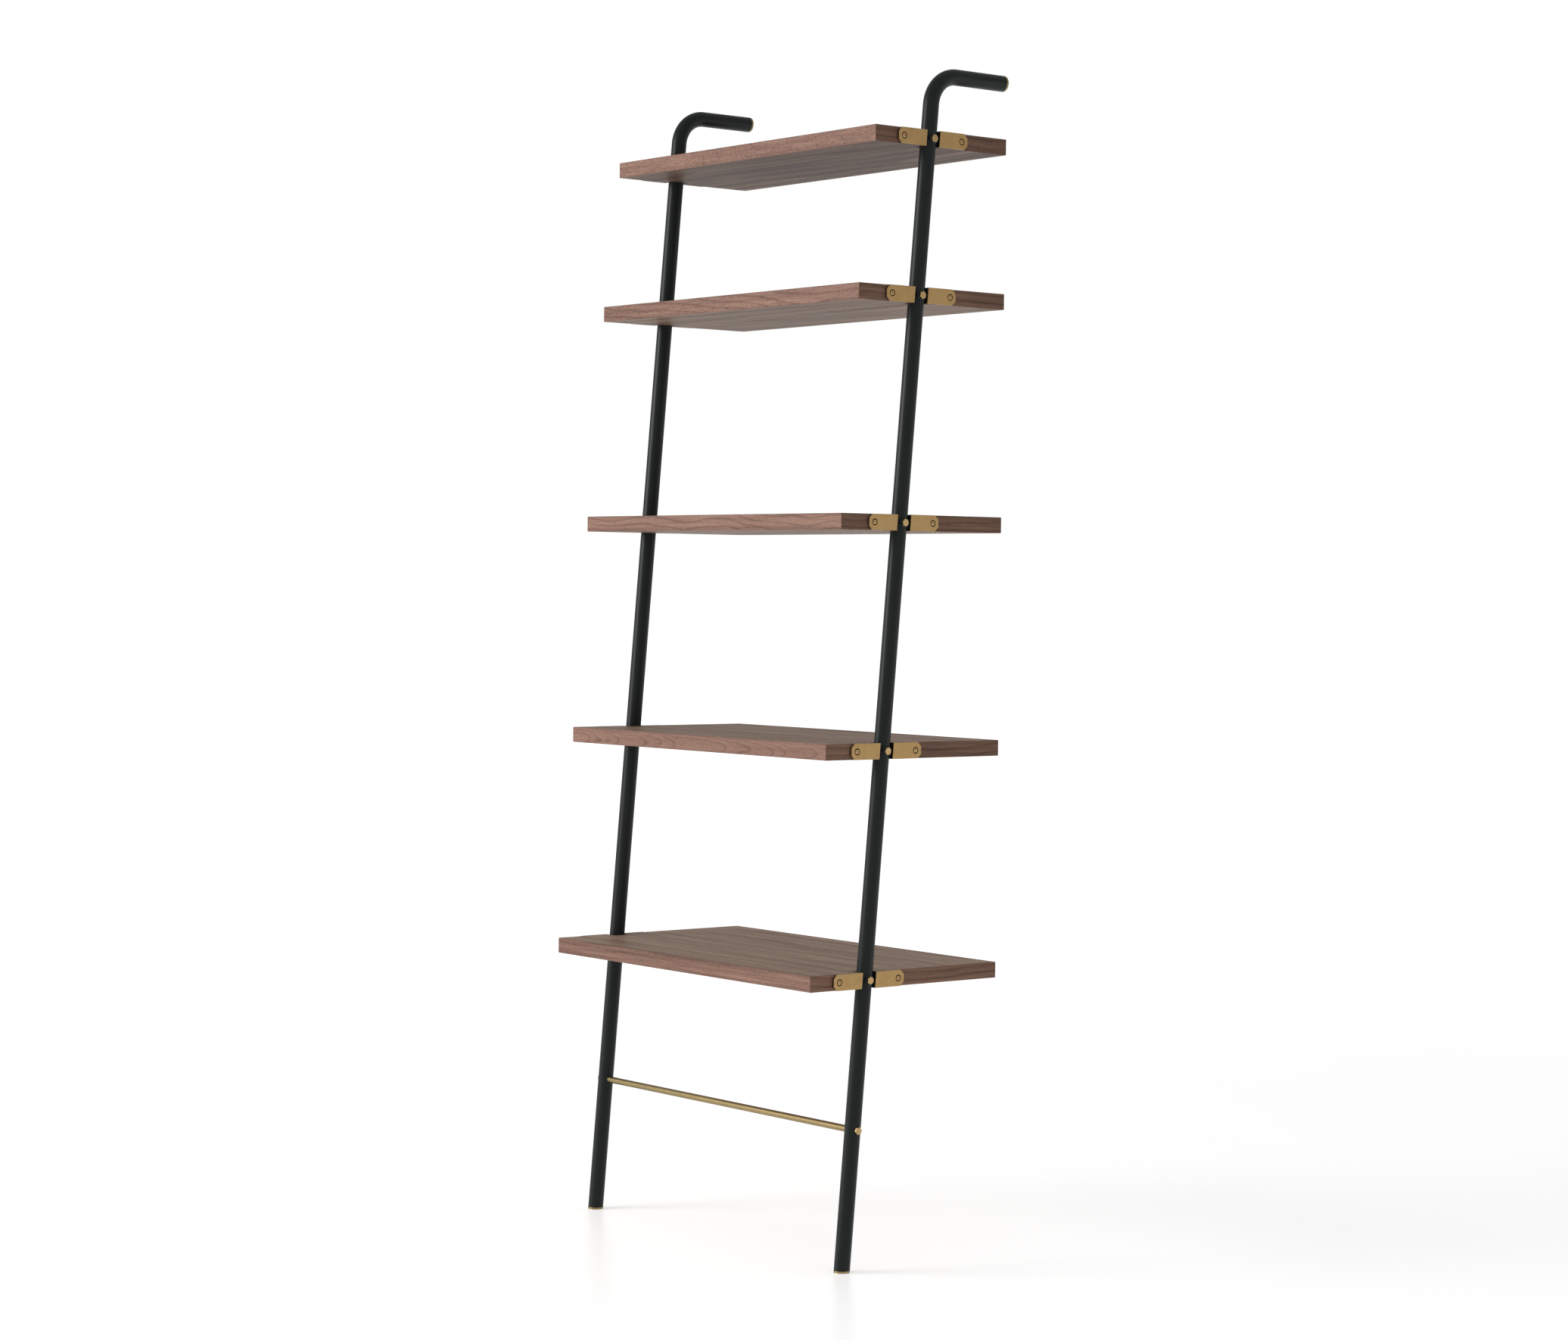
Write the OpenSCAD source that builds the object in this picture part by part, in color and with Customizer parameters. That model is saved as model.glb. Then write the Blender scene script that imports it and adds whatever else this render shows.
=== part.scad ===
// Leaning wall shelf: two bent steel tubes carry five boards on brass-faced end brackets.
// +X runs along the shelves, +Y points at the wall and +Z is up.
// The origin is on the floor, midway between the board ends and midway between the
// front of the deepest shelf and the wall. Shelf 1 is the lowest and shelf 5 the highest.

/* [Shelves] */
// Length of every shelf
shelf_w = 800; // [500:10:1200]
// Thickness of every shelf
shelf_t = 30; // [24:1:40]
// Front-to-back depth of shelf 1
depth_1 = 450; // [390:5:600]
// Front-to-back depth of shelf 2
depth_2 = 420; // [370:5:560]
// Front-to-back depth of shelf 3
depth_3 = 390; // [340:5:520]
// Front-to-back depth of shelf 4
depth_4 = 355; // [300:5:480]
// Front-to-back depth of shelf 5
depth_5 = 320; // [275:5:440]
// Height of the top face of shelf 1 above the floor
first_shelf_h = 550; // [400:10:700]
// Rise from shelf to shelf, up to shelf 4
shelf_pitch = 420; // [300:10:510]
// Rise from shelf 4 to shelf 5
top_pitch = 290; // [180:10:400]
// Width of the solid wood lip along the front and the back
lip_w = 5; // [3:1:12]
// Rounding of the long edges
edge_r = 1.5; // [0.5:0.5:3]

/* [Uprights] */
// Outer diameter of the tubes
tube_d = 30; // [25:1:38]
// Wall thickness of the tubes
tube_wall = 2; // [1.5:0.5:3]
// Lean of the uprights towards the wall, in degrees
lean_angle = 4.8; // [3:0.05:6]
// Distance from the wall to the middle of each foot
foot_gap = 360; // [330:2:430]
// Rise from the top face of shelf 5 to the top of the tubes
top_rise = 120; // [90:5:200]
// Bend radius at the middle of the tube
bend_r = 60; // [45:5:80]

/* [End fittings] */
// Thickness of the brass discs at the floor and at the wall
cap_t = 4; // [3:0.5:8]
// Length of the spigot that holds each disc in its tube
spigot_l = 30; // [24:1:45]
// Clearance all round a spigot
spigot_play = 0.1; // [0.05:0.05:0.5]
// Diameter of the wall screw holes
wall_hole_d = 5.5; // [4:0.5:8]
// Diameter of the wall screw countersinks
wall_sink_d = 11; // [9:0.5:14]
// Diameter of the grub screws that lock the tubes on the wall fittings
grub_d = 5; // [4:1:6]
// Distance from the wall to each grub screw
grub_inset = 18; // [14:1:22]
// Depth of the grub screw's seat in its spigot
grub_seat = 1.5; // [0.5:0.5:2]

/* [Brackets] */
// Thickness of the black steel sheet
sheet_t = 2; // [1.5:0.5:3]
// Thickness of the brass plates
plate_t = 3; // [2.5:0.5:5]
// Length of a brass plate at half its height
plate_len = 67.5; // [50:0.5:80]
// Size of the cut corners of the plates
plate_cut = 8; // [3:0.5:11]
// Clearance between a tube and each side of its notch
tube_play = 0.75; // [0.5:0.25:2]
// Clearance between the steel sheet and each side of its cut-out in the board
wood_play = 0.25; // [0.1:0.05:0.5]
// Distance from a plate's outer end to its screw
screw_inset = 13.3; // [11:0.1:18]

/* [Fasteners] */
// Diameter of the hex bolts
bolt_d = 8; // [6:1:10]
// Size across the flats of a hex bolt head
bolt_flats = 13; // [10:1:17]
// Height of a hex bolt head
bolt_head_h = 3.5; // [2.5:0.5:7]
// Clearance between a bolt or screw and its hole, on the diameter
bolt_play = 0.5; // [0.2:0.1:1]
// Depth of a shelf bolt in its insert
bolt_bite = 21.5; // [12:0.5:24]
// Length of the threaded inserts for the shelf bolts
bolt_insert_l = 25; // [25:1:40]
// Diameter of the saddle washers
saddle_d = 20; // [18:0.5:22]
// Thickness of a saddle washer at the crown of the tube
saddle_crown = 1.5; // [1:0.5:3]
// Clearance between the head of a rod bolt and the tube
rod_head_play = 0.1; // [0.05:0.05:0.5]
// Diameter of the plate screws
screw_d = 5; // [4:0.5:6]
// Length of the plate screws under the head
screw_l = 14; // [10:1:14]
// Diameter of a plate screw's round head
screw_head_d = 9.5; // [7:0.5:11]
// Height of a plate screw's round head
screw_head_h = 2.75; // [2:0.25:4]
// Height of the straight rim below the crown of that head
screw_rim_h = 1; // [0.5:0.25:1.5]
// Diameter of the flat on the crown of that head
screw_top_d = 6; // [5:0.5:7]
// Size across the flats of the socket in a plate screw
socket_flats = 3; // [2:0.5:4]
// Depth of that socket
socket_h = 1.5; // [1:0.25:1.5]
// Diameter of the counterbore around a plate screw's head
sink_d = 12.5; // [11.5:0.5:14]
// Depth of the counterbore
sink_h = 2; // [1:0.25:2]
// Length of the threaded inserts for the plate screws
screw_insert_l = 12; // [12:1:20]
// Wall thickness of all the threaded inserts
insert_wall = 1.5; // [1:0.5:2.5]
// Free depth behind each threaded insert
insert_tip = 2; // [1:0.5:4]

/* [Cross rod] */
// Diameter of the rod between the feet
rod_d = 12.7; // [10:0.1:16]
// Height of the rod's middle above the floor
rod_h = 260; // [120:10:360]
// Clearance between the rod and its hole, on the diameter
rod_play = 0.3; // [0.1:0.1:1]
// Depth of a rod bolt in the rod
rod_bite = 25; // [15:1:40]

/* [Hidden] */
$fn = 64;
walnut = "#806153";
lip_walnut = "#a98a78";
black = "#2b3231";
brass = "#ab9163";
steel = "#9a9a96";

depths = [depth_1, depth_2, depth_3, depth_4, depth_5];
last = len(depths) - 1;
wall_y = max(depths) / 2;
slant = tan(lean_angle);
function tube_y(z) = wall_y - foot_gap + z * slant;
function top_z(i) = first_shelf_h + min(i, last - 1) * shelf_pitch + (i == last ? top_pitch : 0);
function mid_z(i) = top_z(i) - shelf_t / 2;

// The tube's middle line: a leaning straight, a bend and a level run to the wall
tube_r = tube_d / 2;
bore_r = tube_r - tube_wall;
run_z = top_z(last) + top_rise - tube_r;
corner_l = bend_r * tan((90 - lean_angle) / 2);
bend_end_y = tube_y(run_z) + corner_l;
tube_end_y = wall_y - cap_t;
seam = 0.05;
seam_lap = 0.5;

// Places along X, from the board's notch out to the bolt heads
board_x = shelf_w / 2;
plate_x = board_x + sheet_t;
face_x = plate_x + plate_t;
tube_x = face_x - tube_r;
web_x = tube_x - tube_r;
notch_x = web_x - sheet_t;
seat_x = face_x + saddle_crown;
rod_seat_x = face_x + rod_head_play;
saddle_r = saddle_d / 2;
saddle_x = tube_x + sqrt(tube_r * tube_r - saddle_r * saddle_r) + 0.3;
rod_end_x = tube_x + sqrt(bore_r * bore_r - rod_d * rod_d / 4) - 0.05;

// Places along Y, from the middle of a tube
gap_y = (tube_r + tube_play) / cos(lean_angle);
leg_y = gap_y + sheet_t / cos(lean_angle);
end_y = gap_y + plate_len;
screw_y = end_y - screw_inset;

bolt_hole_d = bolt_d + bolt_play;
bolt_l = seat_x - notch_x + bolt_bite;
rod_bolt_l = rod_seat_x - rod_end_x + rod_bite;
spigot_r = bore_r - spigot_play;
bolt_turn = 37;

module prism_x(x0, x1) {
    translate([x0, 0, 0]) rotate([90, 0, 90]) linear_extrude(x1 - x0) children();
}

module cyl_x(d, x0, x1) {
    translate([x0, 0, 0]) rotate([0, 90, 0]) cylinder(d = d, h = x1 - x0);
}

module hex_x(flats, x0, x1) {
    translate([x0, 0, 0]) rotate([0, 90, 0]) cylinder(d = flats / cos(30), h = x1 - x0, $fn = 6);
}

module slab_z(z0, z1) {
    size = 4 * tube_d;
    translate([tube_x - size / 2, tube_y(0) - size / 2, z0]) cube([size, size, z1 - z0]);
}

module left() {
    mirror([1, 0, 0]) children();
}

module both_ends() {
    children();
    left() children();
}

module at_shelf(i) {
    translate([0, tube_y(mid_z(i)), mid_z(i)]) children();
}

module at_rod() {
    translate([0, tube_y(rod_h), rod_h]) children();
}

// A bar along the leaning straight, measured from the floor up
module lean_bar(r, l) {
    translate([tube_x, tube_y(0), 0]) rotate([-lean_angle, 0, 0])
        translate([0, 0, -tube_d]) cylinder(r = r, h = l + tube_d);
}

// The bend is a hair larger than the straight, which ends just inside it, so the two fuse
module bent_bar(r) {
    translate([tube_x, bend_end_y, run_z - bend_r]) rotate([0, -90, 180]) {
        rotate_extrude(angle = 90 - lean_angle) translate([bend_r, 0]) circle(r + seam);
        translate([bend_r, 0, 0]) rotate([90, 0, 0])
            cylinder(r = r + seam, h = tube_end_y - bend_end_y);
        rotate([0, 0, 90 - lean_angle]) translate([bend_r, -seam_lap, 0]) rotate([-90, 0, 0])
            cylinder(r = r, h = run_z);
    }
}

module upright() {
    difference() {
        bent_bar(tube_r);
        bent_bar(bore_r);
        slab_z(-2 * tube_d, cap_t);
        for (i = [0:last]) at_shelf(i) cyl_x(bolt_hole_d, web_x - 1, face_x + 1);
        at_rod() cyl_x(rod_d + rod_play, web_x - 1, tube_x);
        at_rod() cyl_x(bolt_hole_d, tube_x, face_x + 1);
        translate([tube_x, wall_y - grub_inset, run_z]) cylinder(d = grub_d, h = tube_d);
    }
}

module foot_cap() {
    intersection() {
        lean_bar(tube_r, tube_d);
        slab_z(0, cap_t);
    }
    intersection() {
        lean_bar(spigot_r, cap_t + spigot_l);
        slab_z(cap_t, cap_t + 2 * spigot_l);
    }
}

module wall_boss() {
    sink_l = (wall_sink_d - wall_hole_d) / 2;
    boss_l = cap_t + spigot_l;
    difference() {
        translate([tube_x, wall_y, run_z]) rotate([90, 0, 0]) {
            cylinder(r = tube_r, h = cap_t);
            cylinder(r = spigot_r, h = boss_l);
        }
        translate([tube_x, wall_y + 1, run_z]) rotate([90, 0, 0])
            cylinder(d = wall_hole_d, h = boss_l + 2);
        translate([tube_x, wall_y - boss_l + sink_l, run_z]) rotate([90, 0, 0])
            cylinder(d1 = wall_hole_d, d2 = wall_sink_d, h = sink_l);
        translate([tube_x, wall_y - grub_inset, run_z + spigot_r - grub_seat])
            cylinder(d = grub_d, h = tube_d);
    }
}

module grub_screw() {
    flush = 0.4;
    grub_l = tube_r - flush - spigot_r + grub_seat;
    translate([tube_x, wall_y - grub_inset, run_z + spigot_r - grub_seat]) difference() {
        cylinder(d = grub_d, h = grub_l);
        translate([0, 0, grub_l / 2]) cylinder(d = grub_d / 2, h = grub_l, $fn = 6);
    }
}

// Seat between a shelf bolt's head and the round tube
module saddle_washer() {
    difference() {
        cyl_x(saddle_d, saddle_x, seat_x);
        cyl_x(bolt_hole_d, saddle_x - 1, seat_x + 1);
        translate([tube_x, 0, 0]) rotate([-lean_angle, 0, 0])
            cylinder(r = tube_r, h = 2 * saddle_d, center = true);
    }
}

module hex_bolt(seat, l, turn) {
    rotate([turn, 0, 0]) hex_x(bolt_flats, seat, seat + bolt_head_h);
    cyl_x(bolt_d, seat - l, seat + bolt_head_h / 2);
}

module threaded_insert(d, x, l) {
    difference() {
        cyl_x(d + 2 * insert_wall, x - l, x);
        cyl_x(d, x - l - 1, x + 1);
    }
}

module plate_screw() {
    seat = face_x - sink_h;
    cyl_x(screw_d, seat - screw_l, seat + screw_rim_h / 2);
    difference() {
        translate([seat, 0, 0]) rotate([0, 90, 0]) {
            cylinder(d = screw_head_d, h = screw_rim_h);
            translate([0, 0, screw_rim_h])
                cylinder(d1 = screw_head_d, d2 = screw_top_d, h = screw_head_h - screw_rim_h);
        }
        hex_x(socket_flats, seat + screw_head_h - socket_h, seat + 2 * screw_head_h);
    }
}

// A strip across the board's end that leans with the tube
module leaning_strip(y, z) {
    polygon([[-y - z * slant, -z], [y - z * slant, -z], [y + z * slant, z], [-y + z * slant, z]]);
}

// Outline of a plate, from inner_y outwards: way is -1 in front of the tube and 1 behind it
module plate_outline(way, inner_y) {
    z = shelf_t / 2;
    polygon([
        [way * inner_y - z * slant, -z],
        [way * (end_y - plate_cut), -z],
        [way * end_y, plate_cut - z],
        [way * end_y, z - plate_cut],
        [way * (end_y - plate_cut), z],
        [way * inner_y + z * slant, z]
    ]);
}

module board_core(i) {
    z = shelf_t / 2 + 1;
    difference() {
        translate([-board_x, wall_y - depths[i] + lip_w, top_z(i) - shelf_t])
            cube([shelf_w, depths[i] - 2 * lip_w, shelf_t]);
        both_ends() at_shelf(i) {
            prism_x(notch_x, board_x + 1) leaning_strip(leg_y + wood_play, z);
            cyl_x(bolt_d + 2 * insert_wall, notch_x - bolt_insert_l - insert_tip, notch_x + 1);
            for (way = [-1, 1]) translate([0, way * screw_y, 0])
                cyl_x(screw_d + 2 * insert_wall, board_x - screw_insert_l - insert_tip, board_x + 1);
        }
    }
}

// Section of the front lip, from its face inwards
module lip_section() {
    translate([0, edge_r]) square([lip_w, shelf_t - 2 * edge_r]);
    translate([edge_r, 0]) square([lip_w - edge_r, shelf_t]);
    translate([edge_r, edge_r]) circle(edge_r);
    translate([edge_r, shelf_t - edge_r]) circle(edge_r);
}

module front_lip(i) {
    translate([0, wall_y - depths[i], top_z(i) - shelf_t]) prism_x(-board_x, board_x) lip_section();
}

module back_lip(i) {
    translate([0, wall_y, top_z(i) - shelf_t]) prism_x(-board_x, board_x)
        mirror([1, 0]) lip_section();
}

// Black steel sheet folded round the notch, with a flange under each brass plate
module bracket_channel(i) {
    z = shelf_t / 2;
    at_shelf(i) difference() {
        union() {
            prism_x(notch_x, plate_x) leaning_strip(leg_y, z);
            prism_x(board_x, plate_x) for (way = [-1, 1]) plate_outline(way, 0);
        }
        prism_x(web_x, plate_x + 1) leaning_strip(gap_y, z + 1);
        cyl_x(bolt_hole_d, notch_x - 1, web_x + 1);
        for (way = [-1, 1]) translate([0, way * screw_y, 0])
            cyl_x(screw_d + bolt_play, board_x - 1, plate_x + 1);
    }
}

module bracket_plate(i, way) {
    at_shelf(i) difference() {
        prism_x(plate_x, face_x) plate_outline(way, gap_y);
        translate([0, way * screw_y, 0]) {
            cyl_x(screw_d + bolt_play, plate_x - 1, face_x + 1);
            cyl_x(sink_d, face_x - sink_h, face_x + 1);
        }
    }
}

module upright_left() { color(black) left() upright(); }
module upright_right() { color(black) upright(); }
module foot_cap_left() { color(brass) left() foot_cap(); }
module foot_cap_right() { color(brass) foot_cap(); }
module wall_boss_left() { color(brass) left() wall_boss(); }
module wall_boss_right() { color(brass) wall_boss(); }
module grub_screws() { color(steel) both_ends() grub_screw(); }

module cross_rod() {
    color(brass) at_rod() difference() {
        cyl_x(rod_d, -rod_end_x, rod_end_x);
        both_ends() cyl_x(bolt_d, rod_end_x - rod_bite - insert_tip, rod_end_x + 1);
    }
}

module rod_bolts() { color(brass) both_ends() at_rod() hex_bolt(rod_seat_x, rod_bolt_l, bolt_turn); }

module saddle_washers() {
    color(black) both_ends() for (i = [0:last]) at_shelf(i) saddle_washer();
}

module shelf_bolts() {
    color(brass) both_ends() for (i = [0:last]) at_shelf(i) hex_bolt(seat_x, bolt_l, bolt_turn * i);
}

module bolt_inserts() {
    color(steel) both_ends() for (i = [0:last]) at_shelf(i)
        threaded_insert(bolt_d, notch_x, bolt_insert_l);
}

module plate_screws() {
    color(brass) both_ends() for (i = [0:last], way = [-1, 1])
        at_shelf(i) translate([0, way * screw_y, 0]) plate_screw();
}

module screw_inserts() {
    color(steel) both_ends() for (i = [0:last], way = [-1, 1])
        at_shelf(i) translate([0, way * screw_y, 0]) threaded_insert(screw_d, board_x, screw_insert_l);
}

module shelf_1_core() { color(walnut) board_core(0); }
module shelf_1_front_lip() { color(lip_walnut) front_lip(0); }
module shelf_1_back_lip() { color(lip_walnut) back_lip(0); }
module shelf_1_left_channel() { color(black) left() bracket_channel(0); }
module shelf_1_right_channel() { color(black) bracket_channel(0); }
module shelf_1_left_front_plate() { color(brass) left() bracket_plate(0, -1); }
module shelf_1_left_rear_plate() { color(brass) left() bracket_plate(0, 1); }
module shelf_1_right_front_plate() { color(brass) bracket_plate(0, -1); }
module shelf_1_right_rear_plate() { color(brass) bracket_plate(0, 1); }

module shelf_2_core() { color(walnut) board_core(1); }
module shelf_2_front_lip() { color(lip_walnut) front_lip(1); }
module shelf_2_back_lip() { color(lip_walnut) back_lip(1); }
module shelf_2_left_channel() { color(black) left() bracket_channel(1); }
module shelf_2_right_channel() { color(black) bracket_channel(1); }
module shelf_2_left_front_plate() { color(brass) left() bracket_plate(1, -1); }
module shelf_2_left_rear_plate() { color(brass) left() bracket_plate(1, 1); }
module shelf_2_right_front_plate() { color(brass) bracket_plate(1, -1); }
module shelf_2_right_rear_plate() { color(brass) bracket_plate(1, 1); }

module shelf_3_core() { color(walnut) board_core(2); }
module shelf_3_front_lip() { color(lip_walnut) front_lip(2); }
module shelf_3_back_lip() { color(lip_walnut) back_lip(2); }
module shelf_3_left_channel() { color(black) left() bracket_channel(2); }
module shelf_3_right_channel() { color(black) bracket_channel(2); }
module shelf_3_left_front_plate() { color(brass) left() bracket_plate(2, -1); }
module shelf_3_left_rear_plate() { color(brass) left() bracket_plate(2, 1); }
module shelf_3_right_front_plate() { color(brass) bracket_plate(2, -1); }
module shelf_3_right_rear_plate() { color(brass) bracket_plate(2, 1); }

module shelf_4_core() { color(walnut) board_core(3); }
module shelf_4_front_lip() { color(lip_walnut) front_lip(3); }
module shelf_4_back_lip() { color(lip_walnut) back_lip(3); }
module shelf_4_left_channel() { color(black) left() bracket_channel(3); }
module shelf_4_right_channel() { color(black) bracket_channel(3); }
module shelf_4_left_front_plate() { color(brass) left() bracket_plate(3, -1); }
module shelf_4_left_rear_plate() { color(brass) left() bracket_plate(3, 1); }
module shelf_4_right_front_plate() { color(brass) bracket_plate(3, -1); }
module shelf_4_right_rear_plate() { color(brass) bracket_plate(3, 1); }

module shelf_5_core() { color(walnut) board_core(4); }
module shelf_5_front_lip() { color(lip_walnut) front_lip(4); }
module shelf_5_back_lip() { color(lip_walnut) back_lip(4); }
module shelf_5_left_channel() { color(black) left() bracket_channel(4); }
module shelf_5_right_channel() { color(black) bracket_channel(4); }
module shelf_5_left_front_plate() { color(brass) left() bracket_plate(4, -1); }
module shelf_5_left_rear_plate() { color(brass) left() bracket_plate(4, 1); }
module shelf_5_right_front_plate() { color(brass) bracket_plate(4, -1); }
module shelf_5_right_rear_plate() { color(brass) bracket_plate(4, 1); }

upright_left();
upright_right();
foot_cap_left();
foot_cap_right();
wall_boss_left();
wall_boss_right();
grub_screws();
cross_rod();
rod_bolts();
saddle_washers();
shelf_bolts();
bolt_inserts();
plate_screws();
screw_inserts();
shelf_1_core();
shelf_1_front_lip();
shelf_1_back_lip();
shelf_1_left_channel();
shelf_1_right_channel();
shelf_1_left_front_plate();
shelf_1_left_rear_plate();
shelf_1_right_front_plate();
shelf_1_right_rear_plate();
shelf_2_core();
shelf_2_front_lip();
shelf_2_back_lip();
shelf_2_left_channel();
shelf_2_right_channel();
shelf_2_left_front_plate();
shelf_2_left_rear_plate();
shelf_2_right_front_plate();
shelf_2_right_rear_plate();
shelf_3_core();
shelf_3_front_lip();
shelf_3_back_lip();
shelf_3_left_channel();
shelf_3_right_channel();
shelf_3_left_front_plate();
shelf_3_left_rear_plate();
shelf_3_right_front_plate();
shelf_3_right_rear_plate();
shelf_4_core();
shelf_4_front_lip();
shelf_4_back_lip();
shelf_4_left_channel();
shelf_4_right_channel();
shelf_4_left_front_plate();
shelf_4_left_rear_plate();
shelf_4_right_front_plate();
shelf_4_right_rear_plate();
shelf_5_core();
shelf_5_front_lip();
shelf_5_back_lip();
shelf_5_left_channel();
shelf_5_right_channel();
shelf_5_left_front_plate();
shelf_5_left_rear_plate();
shelf_5_right_front_plate();
shelf_5_right_rear_plate();
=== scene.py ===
import math

import bmesh
import bpy
from mathutils import Matrix, Vector


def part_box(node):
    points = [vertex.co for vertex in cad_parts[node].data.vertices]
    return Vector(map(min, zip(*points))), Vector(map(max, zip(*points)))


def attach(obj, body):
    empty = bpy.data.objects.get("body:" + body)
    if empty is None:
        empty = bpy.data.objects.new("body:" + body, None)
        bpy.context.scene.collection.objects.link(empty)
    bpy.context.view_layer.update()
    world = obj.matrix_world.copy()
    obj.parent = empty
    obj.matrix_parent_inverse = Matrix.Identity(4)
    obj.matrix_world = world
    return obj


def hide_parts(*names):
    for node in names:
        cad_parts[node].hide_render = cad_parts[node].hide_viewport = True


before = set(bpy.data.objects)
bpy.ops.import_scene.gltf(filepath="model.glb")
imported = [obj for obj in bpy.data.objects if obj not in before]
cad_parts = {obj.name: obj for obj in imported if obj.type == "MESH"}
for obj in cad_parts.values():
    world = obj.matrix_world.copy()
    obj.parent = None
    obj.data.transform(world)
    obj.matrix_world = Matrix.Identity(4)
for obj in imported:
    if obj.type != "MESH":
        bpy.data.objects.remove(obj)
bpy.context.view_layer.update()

mm = 0.001
sides = ("Right", "Left")
shelves = (1, 2, 3, 4, 5)        # lowest to highest
overcut = 1 * mm        # how far a cutter reaches past what it cuts
print("frame loaded:", len(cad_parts), "nodes")


# small tools: selecting, primitives and modifiers
tools = {"nearSlack": 0.05 * mm, "mergeGap": 0.002 * mm, "alongShare": 0.999, "facing": 0.9}


def selectOnly(*pieces):
    if bpy.context.object and bpy.context.object.mode != "OBJECT":
        bpy.ops.object.mode_set(mode="OBJECT")
    bpy.ops.object.select_all(action="DESELECT")
    for piece in pieces:
        piece.select_set(True)
        bpy.context.view_layer.objects.active = piece


# names the active piece and settles its place, turn and scale in its mesh
def named(name):
    piece = bpy.context.object
    piece.name = piece.data.name = name
    bpy.ops.object.transform_apply(location=True, rotation=True, scale=True)
    return piece


# moves and turns a piece, and settles that in its mesh
def settled(piece, place, turn=(0, 0, 0)):
    piece.location = place
    piece.rotation_euler = turn
    selectOnly(piece)
    return named(piece.name)


def openMesh(piece):
    selectOnly(piece)
    bpy.ops.object.mode_set(mode="EDIT")
    bpy.ops.mesh.select_mode(type="VERT")


def closeMesh():
    bpy.ops.object.mode_set(mode="OBJECT")


# selects the points, edges or faces that pass a test
def pick(piece, kind, test):
    bpy.ops.mesh.select_mode(type=kind)
    bpy.ops.mesh.select_all(action="DESELECT")
    shape = bmesh.from_edit_mesh(piece.data)
    shape.normal_update()
    parts = {"VERT": shape.verts, "EDGE": shape.edges, "FACE": shape.faces}[kind]
    for part in parts:
        if test(part):
            part.select_set(True)
    bmesh.update_edit_mesh(piece.data)


def edgeMiddle(edge):
    return (edge.verts[0].co + edge.verts[1].co) / 2


def edgeAlong(edge, axis):
    way = edge.verts[1].co - edge.verts[0].co
    return abs(way[axis]) > tools["alongShare"] * way.length


def isNear(value, goal):
    return abs(value - goal) < tools["nearSlack"]


def block(name, low, high):
    selectOnly()
    size = Vector(high) - Vector(low)
    bpy.ops.mesh.primitive_cube_add(size=1, location=(Vector(low) + Vector(high)) / 2)
    bpy.context.object.scale = size
    return named(name)


def useModifier(piece, kind, **settings):
    selectOnly(piece)
    modifier = piece.modifiers.new(kind.lower(), kind)
    for key, value in settings.items():
        setattr(modifier, key, value)
    bpy.ops.object.modifier_apply(modifier=modifier.name)


def discard(piece):
    shape = piece.data
    bpy.data.objects.remove(piece)
    bpy.data.meshes.remove(shape)


def carve(piece, cutter, operation="DIFFERENCE"):
    useModifier(piece, "BOOLEAN", operation=operation, solver="EXACT", object=cutter)
    discard(cutter)


def tidyNormals(piece):
    openMesh(piece)
    bpy.ops.mesh.select_all(action="SELECT")
    bpy.ops.mesh.remove_doubles(threshold=tools["mergeGap"])
    bpy.ops.mesh.normals_make_consistent(inside=False)
    closeMesh()


# rounds the sharp edges a little
def easeEdges(piece, width, segments=2, angle=40):
    useModifier(piece, "BEVEL", width=width, segments=segments, limit_method="ANGLE",
                angle_limit=math.radians(angle), use_clamp_overlap=True)


# shades rounded edges smooth while flat faces stay flat
def shadeFlatFaces(piece, angle=50):
    selectOnly(piece)
    bpy.ops.object.shade_smooth_by_angle(angle=math.radians(angle))
    useModifier(piece, "WEIGHTED_NORMAL", keep_sharp=True, weight=100)


def shadeRound(piece, angle=32):
    selectOnly(piece)
    bpy.ops.object.shade_smooth_by_angle(angle=math.radians(angle))


def duplicate(piece, name, shift=(0, 0, 0), turn=0, mirrored=False):
    selectOnly(piece)
    bpy.ops.object.duplicate()
    copy = bpy.context.object
    copy.rotation_euler = (turn, 0, 0)
    copy.location = shift
    if mirrored:
        copy.scale = (-1, 1, 1)
    named(name)
    if mirrored:
        tidyNormals(copy)
    return copy


# the other hand of a piece, which takes its place
def flipped(piece):
    copy = duplicate(piece, piece.name + "Flipped", mirrored=True)
    discard(piece)
    return copy


def joinAll(pieces, name):
    selectOnly(*pieces)
    bpy.ops.object.join()
    return named(name)


# a mesh of one selected point at the origin, left open
def singlePoint(name):
    selectOnly()
    bpy.ops.mesh.primitive_plane_add(size=mm)
    piece = named(name)
    openMesh(piece)
    bpy.ops.mesh.select_all(action="SELECT")
    bpy.ops.mesh.merge(type="CENTER")
    return piece


# a lathe: the outline is pairs of (place along X, radius), spun round the X axis
def turned(name, outline, steps=48):
    piece = singlePoint(name)
    x, radius = outline[0]
    bpy.ops.transform.translate(value=(x, 0, radius))
    for nextX, nextRadius in outline[1:]:
        bpy.ops.mesh.extrude_vertices_move(
            TRANSFORM_OT_translate={"value": (nextX - x, 0, nextRadius - radius)})
        x, radius = nextX, nextRadius
    bpy.ops.mesh.select_all(action="SELECT")
    bpy.ops.mesh.spin(steps=steps, angle=2 * math.pi, center=(0, 0, 0), axis=(1, 0, 0))
    closeMesh()
    tidyNormals(piece)
    return piece


# gives the selected faces the piece's second material
def assignSecond(piece):
    piece.active_material_index = 1
    bpy.ops.object.material_slot_assign()


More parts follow.
